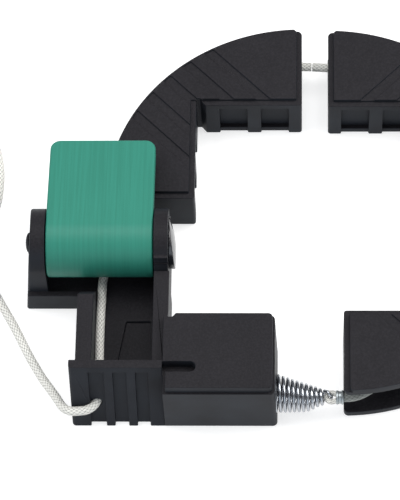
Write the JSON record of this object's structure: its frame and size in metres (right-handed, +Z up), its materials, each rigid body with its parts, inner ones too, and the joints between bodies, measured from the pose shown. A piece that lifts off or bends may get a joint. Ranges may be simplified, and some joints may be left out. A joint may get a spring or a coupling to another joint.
{
  "type": "cord frame clamp",
  "caption": "Picture-frame clamp: corner blocks strung on a braided cord, one with a cam lever, a cleat and a conical spring that keeps the cord tight.",
  "frame": {"origin": "middle of the clamp without its free cord, on the table it lies on", "axes": "+Z up, +X along the tensioner's arm towards the spring, -Y the front where the cleat is"},
  "size_m": [0.2556, 0.1501, 0.0362],
  "materials": {
    "black_plastic": "fine moulded grain",
    "green_plastic": "matte, faint moulding streaks along the paddle",
    "braid": "tight round braid of nylon",
    "zinc_wire": "bright zinc",
    "ferrule_metal": "satin, crimped",
    "strap": "matte",
    "tip_sleeve": "shrunk sleeve"
  },
  "bodies": {
    "tensioner": {"tensioner_body": "black_plastic", "pivot_pin": "black_plastic", "pin_cap": "black_plastic", "spring": "zinc_wire", "cord_channel": "braid", "cord_run_left": "braid", "cord_tail": "braid", "cord_coil": "braid", "coil_tie": "strap", "cord_tip": "tip_sleeve"},
    "lever": {"lever": "green_plastic"},
    "cord_end": {"cord_eye": "braid", "ferrule": "ferrule_metal", "cord_run_bottom": "braid"},
    "lower_right": {"corner_lower_right": "black_plastic"},
    "upper_left": {"corner_upper_left": "black_plastic", "cord_arc_upper_left": "braid", "cord_run_top": "braid"},
    "upper_right": {"corner_upper_right": "black_plastic", "cord_arc_upper_right": "braid", "cord_run_right": "braid"},
    "side_cord": {"cord_arc_lower_right": "braid"}
  },
  "joints": [
    {"name": "lever_pivot", "type": "hinge", "parent": "tensioner", "child": "lever", "pos_m": [-0.06379, -0.01527, 0.02415], "axis": [1, 0, 0], "range_deg": [0, 100]},
    {"name": "spring_stretch", "type": "slide", "parent": "tensioner", "child": "cord_end", "axis": [1, 0, 0], "range_m": [0, 0.005], "stiffness_N_per_m": 800, "deforming": ["spring", "cord_run_bottom"]},
    {"name": "upper_left_slide", "type": "slide", "parent": "tensioner", "child": "upper_left", "axis": [0, 1, 0], "range_m": [0, 0.06], "deforming": ["cord_run_left"]},
    {"name": "lower_right_slide", "type": "slide", "parent": "tensioner", "child": "lower_right", "axis": [1, 0, 0], "range_m": [0, 0.06], "deforming": ["cord_run_bottom"]},
    {"name": "upper_right_slide", "type": "slide", "parent": "upper_left", "child": "upper_right", "axis": [1, 0, 0], "range_m": [0, 0.06], "deforming": ["cord_run_top"]},
    {"name": "side_cord_feed", "type": "slide", "parent": "upper_right", "child": "side_cord", "axis": [0, 1, 0], "range_m": [-0.06, 0], "deforming": ["cord_run_right"]}
  ],
  "couplings": [
    {"joint": "upper_right_slide", "follows": "lower_right_slide", "ratio": 1},
    {"joint": "side_cord_feed", "follows": "upper_left_slide", "ratio": -1}
  ]
}
